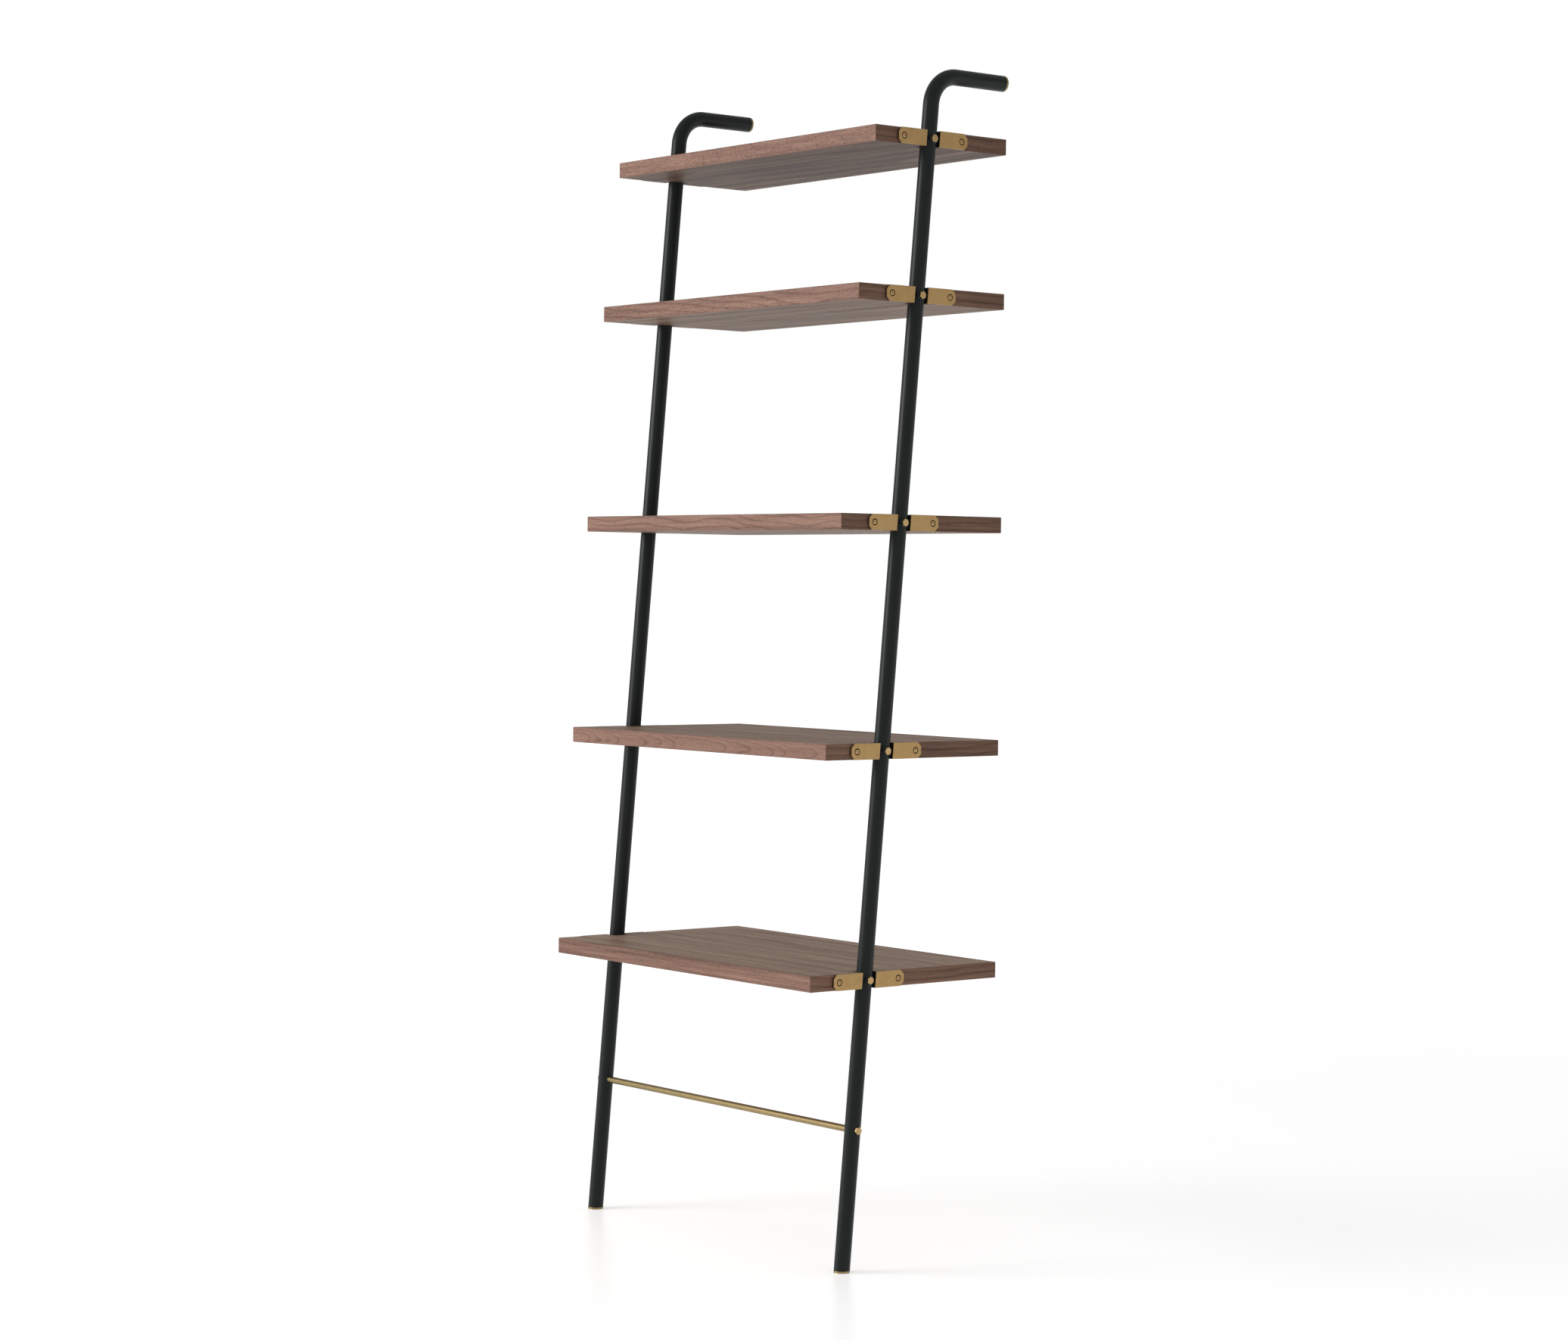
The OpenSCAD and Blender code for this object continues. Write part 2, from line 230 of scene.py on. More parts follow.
# hands a piece over in place of its node; material is None where it is already painted
def hand(piece, material, node):
    if material:
        piece.data.materials.clear()
        piece.data.materials.append(material)
    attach(piece, "root")
    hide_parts(node)


# a socket in a sum: each operator adds its Math node
class Wire:
    def __init__(self, paint, socket):
        self.paint = paint
        self.socket = socket

    def out(self, name):
        return Wire(self.paint, self.socket.node.outputs[name])

    def maths(self, operation, *values):
        return self.paint.node("ShaderNodeMath", {"operation": operation}, dict(enumerate(values)))

    def fraction(self):
        return self.maths("FRACT", self)

    # noise lies round 0.5, so its swing lies round nothing
    def swing(self):
        return self - 0.5

    def __add__(self, other):
        return self.maths("ADD", self, other)

    def __radd__(self, other):
        return self.maths("ADD", other, self)

    def __sub__(self, other):
        return self.maths("SUBTRACT", self, other)

    def __rsub__(self, other):
        return self.maths("SUBTRACT", other, self)

    def __mul__(self, other):
        return self.maths("MULTIPLY", self, other)

    def __rmul__(self, other):
        return self.maths("MULTIPLY", other, self)

    def __pow__(self, other):
        return self.maths("POWER", self, other)


# one material: its nodes are added by the methods below
class Paint:
    def __init__(self, name):
        self.material = bpy.data.materials.new(name)
        self.material.use_nodes = True
        self.tree = self.material.node_tree
        self.tree.nodes.clear()
        self.place = self.node("ShaderNodeTexCoord").out("Object")

    # any node: settings first (a ramp's stops among them), then values or links for its sockets
    def node(self, kind, settings=None, values=None):
        made = self.tree.nodes.new(kind)
        for key, value in (settings or {}).items():
            if key == "stops":
                ramp = made.color_ramp
                while len(ramp.elements) < len(value):
                    ramp.elements.new(0.5)
                for element, (where, shade) in zip(ramp.elements, value):
                    element.position = where
                    element.color = shade if isinstance(shade, tuple) else (shade, shade, shade, 1)
            else:
                setattr(made, key, value)
        for key, value in (values or {}).items():
            if isinstance(value, Wire):
                self.tree.links.new(value.socket, made.inputs[key])
            else:
                made.inputs[key].default_value = value
        return Wire(self, made.outputs[0]) if made.outputs else None

    def split(self):
        parts = self.node("ShaderNodeSeparateXYZ", {}, {0: self.place})
        return parts.out("X"), parts.out("Y"), parts.out("Z")

    # the coordinates come already multiplied by how many grains go in a metre
    def noise(self, x, y, z, detail=2.0, roughness=0.5):
        where = self.node("ShaderNodeCombineXYZ", {}, {0: x, 1: y, 2: z})
        return self.node("ShaderNodeTexNoise", {}, {
            "Vector": where, "Scale": 1.0, "Detail": detail, "Roughness": roughness})

    def ramp(self, factor, *stops):
        return self.node("ShaderNodeValToRGB", {"stops": stops}, {0: factor})

    # sockets 6 and 7 and output 2 are the Mix node's colours
    def mixed(self, factor, first, second):
        return self.node("ShaderNodeMix", {"data_type": "RGBA"},
                         {0: factor, 6: first, 7: second}).out(2)

    # the closing shader: changing values are links, the rest sits on its own sockets
    def finish(self, height=None, strength=0, distance=0, **values):
        settings = {key.replace("_", " "): value for key, value in values.items()}
        if height is not None:
            settings["Normal"] = self.node("ShaderNodeBump", {}, {
                "Height": height, "Strength": strength, "Distance": distance})
        shader = self.node("ShaderNodeBsdfPrincipled", {}, settings)
        self.node("ShaderNodeOutputMaterial", {}, {"Surface": shader})
        return self.material


# screen colours 0 to 255 as the linear values that a shader takes, by the sRGB curve
def tint(red, green, blue):
    def linear(value):
        value = value / 255
        return value / 12.92 if value <= 0.04045 else ((value + 0.055) / 1.055) ** 2.4
    return (linear(red), linear(green), linear(blue), 1.0)


# grains and clouds in all finishes are counted per metre
powderCoat = {"light": tint(24, 30, 29), "dark": tint(13, 18, 17), "roughness": 0.40,
              "gloss": 0.20, "grit": 1500, "cloud": 14, "cloudHigh": 6, "cloudShare": 0.7,
              "roughSpread": 0.10, "bump": 0.12, "bumpHeight": 0.05 * mm}
bracketPowder = {**powderCoat, "light": tint(26, 29, 29), "dark": tint(16, 18, 18),
                 "roughness": 0.55, "gloss": 0.3}


def powderCoated(name, look):
    paint = Paint(name)
    x, y, z = paint.split()
    grit = paint.noise(x * look["grit"], y * look["grit"], z * look["grit"], detail=2)
    cloud = paint.noise(x * look["cloud"], y * look["cloud"], z * look["cloudHigh"], detail=3)
    speckle = cloud * look["cloudShare"] + grit * (1 - look["cloudShare"])
    colour = paint.mixed(speckle, look["dark"], look["light"])
    roughness = look["roughness"] + cloud.swing() * look["roughSpread"]
    roughness = roughness + grit.swing() * look["roughSpread"]
    return paint.finish(height=grit, strength=look["bump"], distance=look["bumpHeight"],
                        Base_Color=colour, Roughness=roughness,
                        Specular_IOR_Level=look["gloss"])


brassLook = {
    "plate": {"light": tint(186, 155, 108), "dark": tint(152, 122, 78), "roughness": 0.45},
    # the sunk rings round the screws: darker brass as painted shade
    "sinkShade": {"light": tint(92, 74, 50), "dark": tint(58, 46, 32), "roughness": 0.6},
    "fitting": {"light": tint(160, 142, 103), "dark": tint(136, 117, 81), "roughness": 0.40},
    "fastener": {"light": tint(190, 162, 116), "dark": tint(158, 130, 88), "roughness": 0.32},
}
satin = {"lineRun": 60, "lineAcross": 2600, "cloud": 45, "cloudShare": 0.75, "cloudRough": 0.08,
         "lineRough": 0.14, "tarnish": 120, "tarnishFrom": 0.55, "tarnishTo": 0.75,
         "tarnishShare": 0.18, "tarnishRough": 0.06, "bump": 0.10, "bumpHeight": 0.03 * mm}


# satin brass: fine lines along X or Y, slow clouding and a little tarnish
def satinBrass(name, look, lines="Y"):
    paint = Paint(name)
    x, y, z = paint.split()
    lineX = satin["lineRun"] if lines == "X" else satin["lineAcross"]
    lineY = satin["lineRun"] if lines == "Y" else satin["lineAcross"]
    brushing = paint.noise(x * lineX, y * lineY, z * satin["lineAcross"], detail=3)
    cloud = paint.noise(x * satin["cloud"], y * satin["cloud"], z * satin["cloud"],
                        detail=4, roughness=0.6)
    spots = paint.noise(x * satin["tarnish"], y * satin["tarnish"], z * satin["tarnish"], detail=3)
    tarnish = paint.ramp(spots, (satin["tarnishFrom"], 0.0), (satin["tarnishTo"], 1.0))
    polish = cloud * satin["cloudShare"] + brushing * (1 - satin["cloudShare"])
    colour = paint.mixed(polish, look["dark"], look["light"])
    colour = paint.mixed(tarnish * satin["tarnishShare"], colour, look["dark"])
    roughness = look["roughness"] + brushing.swing() * satin["lineRough"]
    roughness = roughness + tarnish * satin["tarnishRough"] + cloud.swing() * satin["cloudRough"]
    return paint.finish(height=brushing, strength=satin["bump"], distance=satin["bumpHeight"],
                        Base_Color=colour, Metallic=1.0, Roughness=roughness)


# what one face of walnut looks like; a lower lift gives a darker face
walnutLook = {
    "seed": 0.0, "grain": "X", "ringsWide": 34.0, "ringsHigh": 110.0, "ringsRun": 0.0, "bow": 0.0,
    "wander": 2.0, "wanderRun": 3.0, "ringDepth": 0.26, "ringFrom": 0.45, "streaks": 95.0,
    "streakDepth": 0.50, "fibres": 330.0, "fibreDepth": 0.46, "fleckDepth": 0.22,
    "fleckRun": 120.0, "smudgeDepth": 0.0, "toneDepth": 0.30, "lift": 0.56, "roughness": 0.42,
    "gloss": 0.16,
}

# what all walnut shares: counts along the grain (Run), across it (Wide) and upwards (High)
walnutGrain = {
    "slowWide": 7, "slowHigh": 9, "ringEdge": 0.12, "ringPeak": 0.86, "streakRun": 1.9,
    "fibreRun": 13, "fleckAcross": 950, "fleckFrom": 0.56, "fleckTo": 0.70, "toneRun": 2.6,
    "toneWide": 11, "toneHigh": 14, "smudgeRun": 5.5, "smudgeWide": 15, "smudgeHigh": 5,
    "smudgeFrom": 0.52, "smudgeTo": 0.74, "fibreRough": 0.16, "fleckRough": 0.10,
    "fleckSink": 0.5, "bump": 0.22, "bumpHeight": 0.10 * mm,
}


def walnut(name, middleZ, **changes):
    look = {**walnutLook, **changes}
    paint = Paint(name)
    x, y, z = paint.split()
    run, wide = (x, y) if look["grain"] == "X" else (y, x)
    rise = z - middleZ
    seed = look["seed"]
    grain = walnutGrain
    slow = paint.noise(run * look["wanderRun"] + seed, wide * grain["slowWide"] + seed,
                       rise * grain["slowHigh"], detail=2)
    count = wide * look["ringsWide"] + rise * look["ringsHigh"] + run * look["ringsRun"]
    count = count + rise * rise * look["bow"] + slow * look["wander"] + seed
    ring = paint.ramp(count.fraction(), (0.0, 0.0), (look["ringFrom"], grain["ringEdge"]),
                      (grain["ringPeak"], 1.0), (1.0, 0.0))
    streak = paint.noise(run * grain["streakRun"] + seed, wide * look["streaks"],
                         rise * look["streaks"] + seed, detail=3, roughness=0.6)
    fibre = paint.noise(run * grain["fibreRun"] + seed, wide * look["fibres"],
                        rise * look["fibres"], detail=5, roughness=0.65)
    pores = paint.noise(run * look["fleckRun"], wide * grain["fleckAcross"],
                        rise * grain["fleckAcross"] + seed, detail=1)
    fleck = paint.ramp(pores, (grain["fleckFrom"], 0.0), (grain["fleckTo"], 1.0))
    tone = paint.noise(run * grain["toneRun"] + seed, wide * grain["toneWide"],
                       rise * grain["toneHigh"] + seed, detail=3, roughness=0.55)
    patches = paint.noise(run * grain["smudgeRun"], wide * grain["smudgeWide"] + seed,
                          rise * grain["smudgeHigh"], detail=4, roughness=0.6)
    smudge = paint.ramp(patches, (grain["smudgeFrom"], 0.0), (grain["smudgeTo"], 1.0))
    shade = look["lift"] - ring * look["ringDepth"] + fibre.swing() * look["fibreDepth"]
    shade = shade + tone.swing() * look["toneDepth"] + streak.swing() * look["streakDepth"]
    shade = shade - fleck * look["fleckDepth"] - smudge * look["smudgeDepth"]
    colour = paint.ramp(shade, (0.0, look["dark"]), (0.5, look["middle"]), (1.0, look["light"]))
    roughness = look["roughness"] + fibre.swing() * grain["fibreRough"]
    roughness = roughness + fleck * grain["fleckRough"]
    return paint.finish(height=fibre - fleck * grain["fleckSink"], strength=grain["bump"],
                        distance=grain["bumpHeight"], Base_Color=colour, Roughness=roughness,
                        Specular_IOR_Level=look["gloss"])


zincLook = {"dark": tint(150, 152, 156), "light": tint(196, 197, 198), "spangle": 420,
            "roughness": 0.34, "roughSpread": 0.2, "bump": 0.08, "bumpHeight": 0.03 * mm}


def zincSteel(name, look):
    paint = Paint(name)
    x, y, z = paint.split()
    spangle = paint.noise(x * look["spangle"], y * look["spangle"], z * look["spangle"], detail=3)
    colour = paint.mixed(spangle, look["dark"], look["light"])
    roughness = look["roughness"] + spangle.swing() * look["roughSpread"]
    return paint.finish(height=spangle, strength=look["bump"], distance=look["bumpHeight"],
                        Base_Color=colour, Metallic=1.0, Roughness=roughness)


tubeCoat = powderCoated("tubeCoat", powderCoat)
bracketCoat = powderCoated("bracketCoat", bracketPowder)
plateBrass = satinBrass("plateBrass", brassLook["plate"])
# painted shade for the sunk rings round the screws
recessBrass = satinBrass("recessBrass", brassLook["sinkShade"])
fittingBrass = satinBrass("fittingBrass", brassLook["fitting"], lines="X")
fastenerBrass = satinBrass("fastenerBrass", brassLook["fastener"], lines="X")
zinc = zincSteel("zincSteel", zincLook)
print("finishes mixed")


# the camera stands in front and to the right, at about half the shelf's height
cameraView = {"place": (5.1822, -4.0882, 1.2567), "azimuth": 51.571, "pitch": -1.42,
              "roll": 0.663, "lens": 78.2, "sensor": 36.0, "clipEnd": 200}
camera = bpy.data.objects.new("camera", bpy.data.cameras.new("camera"))
bpy.context.scene.collection.objects.link(camera)
camera.data.lens = cameraView["lens"]
camera.data.sensor_width = cameraView["sensor"]
camera.data.sensor_fit = "HORIZONTAL"
camera.data.clip_end = cameraView["clipEnd"]
camera.matrix_world = (Matrix.Translation(cameraView["place"])
                       @ Matrix.Rotation(math.radians(cameraView["azimuth"]), 4, "Z")
                       @ Matrix.Rotation(math.radians(90 + cameraView["pitch"]), 4, "X")
                       @ Matrix.Rotation(math.radians(cameraView["roll"]), 4, "Z"))
bpy.context.scene.camera = camera

# the sky is white to the camera and dimmer as a light
studio = {
    "skyShown": 1.0, "skyLight": 0.58,
    "key": {"place": (-3.4, -6.0, 3.0), "aim": (0, 0, 1.1), "size": 3.6, "power": 300},
    "side": {"place": (4.6, 4.4, 0.8), "aim": (0.2, 0, 1.0), "size": 3.0, "power": 10},
}
world = bpy.data.worlds.new("studio")
bpy.context.scene.world = world
world.use_nodes = True
sky = world.node_tree.nodes["Background"]
sky.inputs["Color"].default_value = (1, 1, 1, 1)
rays = world.node_tree.nodes.new("ShaderNodeLightPath")
level = world.node_tree.nodes.new("ShaderNodeMapRange")
level.inputs["To Min"].default_value = studio["skyLight"]
level.inputs["To Max"].default_value = studio["skyShown"]
world.node_tree.links.new(rays.outputs["Is Camera Ray"], level.inputs["Value"])
world.node_tree.links.new(level.outputs["Result"], sky.inputs["Strength"])


def softLight(name, look):
    lamp = bpy.data.lights.new(name, "AREA")
    lamp.shape = "DISK"
    lamp.size = look["size"]
    lamp.energy = look["power"]
    light = bpy.data.objects.new(name, lamp)
    bpy.context.scene.collection.objects.link(light)
    light.location = look["place"]
    aim = Vector(look["aim"]) - Vector(look["place"])
    light.rotation_euler = aim.to_track_quat("-Z", "Y").to_euler()


softLight("keyLight", studio["key"])
softLight("sideLight", studio["side"])

# the floor glows more farther off, so that it fades into the sky
floorLook = {"radius": 40, "sides": 96, "cloud": 1.5, "dark": (0.88, 0.88, 0.88, 1),
             "light": (0.92, 0.92, 0.92, 1), "roughness": 0.32, "roughSpread": 0.04, "gloss": 0.5,
             "nearGlow": 0.38, "farGlow": 0.58, "glowFrom": 2.0, "glowTo": 9.0}


def paleFloor(name, look):
    paint = Paint(name)
    x, y, z = paint.split()
    cloud = paint.noise(x * look["cloud"], y * look["cloud"], z, detail=2)
    reach = (x * x + y * y) ** 0.5
    glow = paint.node("ShaderNodeMapRange", {"interpolation_type": "SMOOTHSTEP"}, {
        "Value": reach, "From Min": look["glowFrom"], "From Max": look["glowTo"],
        "To Min": look["nearGlow"], "To Max": look["farGlow"]})
    colour = paint.mixed(cloud, look["dark"], look["light"])
    return paint.finish(
        Base_Color=colour, Roughness=look["roughness"] + cloud.swing() * look["roughSpread"],
        Specular_IOR_Level=look["gloss"], Emission_Strength=1.0,
        Emission_Color=paint.node("ShaderNodeCombineColor", {}, {0: glow, 1: glow, 2: glow}))


selectOnly()
bpy.ops.mesh.primitive_circle_add(vertices=floorLook["sides"], radius=floorLook["radius"],
                                  fill_type="NGON")
floor = named("studioFloor")
floor.data.materials.append(paleFloor("paleFloor", floorLook))
bpy.context.scene.view_settings.view_transform = "Standard"
print("camera, light and floor set")


def middleOf(node):
    low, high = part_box(node)
    return (low + high) / 2


# where things are, all from the frame
bracketAt = {n: middleOf(f"shelf_{n}_right_channel") for n in shelves}
slope = (bracketAt[4].y - bracketAt[1].y) / (bracketAt[4].z - bracketAt[1].z)
lean = math.atan(slope)
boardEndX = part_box("shelf_1_core")[1].x
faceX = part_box("shelf_1_right_front_plate")[1].x
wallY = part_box("shelf_1_back_lip")[1].y
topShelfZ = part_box("shelf_5_core")[1].z


def tubeY(z):
    return bracketAt[1].y + (z - bracketAt[1].z) * slope


# uprights: a leaning tube, a bend and a level run to the wall
tube = {"radius": 15 * mm, "wall": 2 * mm, "bendRadius": 60 * mm, "rise": 120 * mm,
        "cap": 4 * mm, "around": 64, "bendSteps": 28, "underFloor": 30 * mm,
        "boltHole": 8.5 * mm, "rodHole": 13 * mm, "rodHeight": 260 * mm, "collar": 9.3 * mm,
        "holeSides": 32}
tubeX = faceX - tube["radius"]
runZ = topShelfZ + tube["rise"] - tube["radius"]
cornerLength = tube["bendRadius"] * math.tan((math.pi / 2 - lean) / 2)
bendEndY = tubeY(runZ) + cornerLength
runEndY = wallY - tube["cap"]
upTheLean = Vector((0, math.sin(lean), math.cos(lean)))


def bentTube(name):
    start = Vector((tubeX, tubeY(0), 0)) - upTheLean * tube["underFloor"]
    straight = runZ / math.cos(lean) - cornerLength + tube["underFloor"]
    selectOnly()
    bpy.ops.mesh.primitive_circle_add(vertices=tube["around"], radius=tube["radius"],
                                      location=start, rotation=(-lean, 0, 0))
    piece = named(name)
    openMesh(piece)
    bpy.ops.mesh.select_all(action="SELECT")
    bpy.ops.mesh.extrude_region_move(TRANSFORM_OT_translate={"value": upTheLean * straight})
    bpy.ops.mesh.spin(steps=tube["bendSteps"], angle=math.pi / 2 - lean,
                      center=(tubeX, bendEndY, runZ - tube["bendRadius"]), axis=(1, 0, 0))
    bpy.ops.mesh.extrude_region_move(
        TRANSFORM_OT_translate={"value": (0, runEndY - bendEndY, 0)})
    # a ring of edges above and below each hole keeps the long faces clear of the drilling
    heights = [bracketAt[n].z for n in shelves] + [tube["rodHeight"]]
    for height in heights:
        for way in (-1, 1):
            ringAt = Vector((tubeX, tubeY(height), height)) + upTheLean * (way * tube["collar"])
            bpy.ops.mesh.select_all(action="SELECT")
            bpy.ops.mesh.bisect(plane_co=ringAt, plane_no=upTheLean)
    bpy.ops.mesh.select_all(action="SELECT")
    bpy.ops.mesh.bisect(plane_co=(0, 0, tube["cap"]), plane_no=(0, 0, 1), clear_inner=True)
    closeMesh()
    tidyNormals(piece)
    useModifier(piece, "SOLIDIFY", thickness=tube["wall"], offset=-1, use_even_offset=True)
    return piece


def drill(name, diameter, fromX, toX, height):
    selectOnly()
    bpy.ops.mesh.primitive_cylinder_add(
        vertices=tube["holeSides"], radius=diameter / 2, depth=toX - fromX,
        rotation=(0, math.pi / 2, 0), location=((fromX + toX) / 2, tubeY(height), height))
    return named(name)


uprightRight = bentTube("uprightRight")
webX = tubeX - tube["radius"]
holes = [drill("hole", tube["boltHole"], webX - overcut, faceX + overcut, bracketAt[n].z)
         for n in shelves]
holes.append(drill("hole", tube["boltHole"], tubeX, faceX + overcut, tube["rodHeight"]))
holes.append(drill("hole", tube["rodHole"], webX - overcut, tubeX - overcut, tube["rodHeight"]))
carve(uprightRight, joinAll(holes, "holes"))
uprightLeft = duplicate(uprightRight, "uprightLeft", mirrored=True)
for piece in (uprightRight, uprightLeft):
    shadeRound(piece)
hand(uprightRight, tubeCoat, "upright_right")
hand(uprightLeft, tubeCoat, "upright_left")
print("uprights bent")


# foot caps and wall discs
endDisc = {"thick": 4 * mm, "spigot": 30 * mm, "spigotRadius": 12.9 * mm, "rim": 0.45 * mm,
           "rimSteps": 3, "rimShare": 0.3, "rimBand": 0.5 * mm, "screwHole": 5.5 * mm,
           "screwSink": 11 * mm}


def footCap(name):
    thick = endDisc["thick"]
    rimRadius = tube["radius"] - endDisc["rimBand"]

    def onRim(edge):
        ends = edge.verts[0].co, edge.verts[1].co
        axis = Vector((tubeX, tubeY(ends[0].z), ends[0].z))
        return (ends[0].z < thick + overcut and isNear(ends[0].z, ends[1].z)
                and (edgeMiddle(edge) - axis).length > rimRadius)

    selectOnly()
    bpy.ops.mesh.primitive_cylinder_add(vertices=tube["around"], radius=tube["radius"],
                                        depth=thick, location=(tubeX, tubeY(thick / 2), thick / 2))
    bpy.context.object.scale = (1, 1 / math.cos(lean), 1)
    piece = named(name)
    openMesh(piece)
    for level, way in ((0, -1), (thick, 1)):
        pick(piece, "VERT", lambda v: isNear(v.co.z, level))
        bpy.ops.transform.translate(value=(0, way * slope * thick / 2, 0))
    pick(piece, "FACE", lambda f: f.normal.z > tools["facing"])
    bpy.ops.mesh.inset(thickness=tube["radius"] - endDisc["spigotRadius"])
    bpy.ops.mesh.extrude_region_move(
        TRANSFORM_OT_translate={"value": upTheLean * endDisc["spigot"]})
    pick(piece, "EDGE", onRim)
    bpy.ops.mesh.bevel(offset=endDisc["rim"], segments=endDisc["rimSteps"])
    closeMesh()
    tidyNormals(piece)
    return piece


def wallDisc(name):
    thick, rim, radius = endDisc["thick"], endDisc["rim"], tube["radius"]
    corner, spigot = endDisc["rimShare"] * rim, endDisc["spigotRadius"]
    hole, sink = endDisc["screwHole"] / 2, endDisc["screwSink"] / 2
    end = thick + endDisc["spigot"]
    piece = turned(name, [
        (0, hole), (0, radius - rim), (corner, radius - corner), (rim, radius),
        (thick - rim, radius), (thick - corner, radius - corner), (thick, radius - rim),
        (thick, spigot), (end - rim, spigot), (end, spigot - rim),
        (end, sink), (end - sink + hole, hole), (0, hole)], steps=tube["around"])
    return settled(piece, (tubeX, wallY, runZ), (0, 0, -math.pi / 2))


for makePiece, name, node in ((footCap, "footCap", "foot_cap"),
                              (wallDisc, "wallDisc", "wall_boss")):
    right = makePiece(name + "Right")
    left = duplicate(right, name + "Left", mirrored=True)
    for piece, side in ((right, "right"), (left, "left")):
        shadeFlatFaces(piece)
        hand(piece, fittingBrass, f"{node}_{side}")
print("end discs turned")


rod = {"radius": 6.35 * mm, "chamfer": 0.5 * mm}
rodPlace = (0, tubeY(tube["rodHeight"]), tube["rodHeight"])


def turnedRod(name):
    low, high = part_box("cross_rod")
    radius, chamfer = rod["radius"], rod["chamfer"]
    piece = turned(name, [
        (low.x, 0), (low.x, radius - chamfer), (low.x + chamfer, radius),
        (high.x - chamfer, radius), (high.x, radius - chamfer), (high.x, 0)])
    return settled(piece, rodPlace)


crossRod = turnedRod("crossRod")
shadeFlatFaces(crossRod)
hand(crossRod, fittingBrass, "cross_rod")
print("cross rod turned")


# boards: a core notched for the brackets, and a lip on the front and the back
board = {"longRound": 1.5 * mm, "longSteps": 4, "endRound": 1.0 * mm, "lipRound": 0.8 * mm,
         "endSteps": 3, "endTurn": 0.5, "endBand": 2 * mm, "notchDepth": 27 * mm,
         "notchHalf": 18.06 * mm}

# each board is cut from its own plank: how its lips are figured
lipFigure = {
    1: {"seed": 3.1, "ringsHigh": 85.0, "wander": 2.4, "wanderRun": 2.2, "ringDepth": 0.15,
        "streakDepth": 0.9, "lift": 0.49},
    2: {"seed": 7.7, "ringsRun": 13.0, "ringsHigh": 60.0, "bow": 5200.0, "wander": 3.8,
        "wanderRun": 9.0, "ringDepth": 0.24, "ringFrom": 0.70, "fibreDepth": 0.34,
        "streakDepth": 0.4, "lift": 0.58},
    3: {"seed": 12.4, "ringsRun": 4.0, "ringsHigh": 75.0, "wander": 4.4, "wanderRun": 4.0,
        "ringDepth": 0.24, "ringFrom": 0.62, "streakDepth": 0.7, "lift": 0.59},
    4: {"seed": 17.9, "ringsRun": 6.5, "ringsHigh": 70.0, "wander": 4.2, "wanderRun": 3.4,
        "ringDepth": 0.24, "ringFrom": 0.58, "streakDepth": 0.6, "lift": 0.56,
        "fleckDepth": 0.30},
    5: {"seed": 23.2, "ringsHigh": 60.0, "wander": 1.2, "ringDepth": 0.08, "fleckDepth": 0.48,
        "fleckRun": 150.0, "fibreDepth": 0.7, "streakDepth": 0.3, "lift": 0.56},
}
lipLook = {"dark": tint(66, 42, 33), "middle": tint(126, 95, 82), "light": tint(170, 136, 118),
           "roughness": 0.5}
faceLook = {"ringsWide": 14.0, "ringDepth": 0.20, "wander": 2.6, "wanderRun": 1.3,
            "streaks": 46.0, "fibres": 170.0, "streakDepth": 0.85, "fibreDepth": 0.8,
            "smudgeDepth": 0.12, "gloss": 0.06, "dark": tint(70, 50, 39),
            "middle": tint(132, 108, 92), "light": tint(169, 144, 124), "roughness": 0.48,
            "seedStep": 1.7}
endLook = {"grain": "Y", "ringsHigh": 70.0, "ringsWide": 4.0, "wander": 2.6, "wanderRun": 5.0,
           "ringDepth": 0.22, "streaks": 110.0, "streakDepth": 0.8, "dark": tint(48, 31, 24),
           "middle": tint(102, 75, 61), "light": tint(140, 108, 88), "roughness": 0.46,
           "seedStep": 2.3}
# how light each shelf's faces are painted: darker towards the highest shelf, as painted light and
# shade for how its seen top or underside is lit
facePaintedLight = {1: 0.74, 2: 0.66, 3: 0.56, 4: 0.42, 5: 0.22}
endLift = {1: 0.70, 2: 0.57, 3: 0.57, 4: 0.57, 5: 0.54}


def onEnd(face):
    middleX = abs(face.calc_center_median().x)
    return abs(face.normal.x) > board["endTurn"] and middleX > boardEndX - board["endBand"]


def endFaces(piece, endPaint):
    piece.data.materials.append(endPaint)
    openMesh(piece)
    pick(piece, "FACE", onEnd)
    assignSecond(piece)
    closeMesh()


def notchCutter(at, side):
    half = (at["high"] - at["low"]) / 2 + overcut
    nearX, farX = boardEndX - board["notchDepth"], boardEndX + overcut
    low = Vector((nearX, -board["notchHalf"], -half)) + at["middle"]
    high = Vector((farX, board["notchHalf"], half)) + at["middle"]
    cutter = block("notch", low, high)
    openMesh(cutter)
    for way in (-1, 1):
        pick(cutter, "VERT", lambda v: (v.co.z - at["middle"].z) * way > 0)
        bpy.ops.transform.translate(value=(0, way * slope * half, 0))
    closeMesh()
    return cutter if side == "Right" else flipped(cutter)


def boardCore(n):
    low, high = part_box(f"shelf_{n}_core")
    core = block(f"shelf{n}Core", low, high)
    openMesh(core)
    pick(core, "EDGE", lambda e: edgeAlong(e, 1))
    bpy.ops.mesh.bevel(offset=board["endRound"], segments=board["endSteps"])
    closeMesh()
    at = {"low": low.z, "high": high.z, "middle": Vector((0, bracketAt[n].y, bracketAt[n].z))}
    for side in sides:
        carve(core, notchCutter(at, side))
    return core


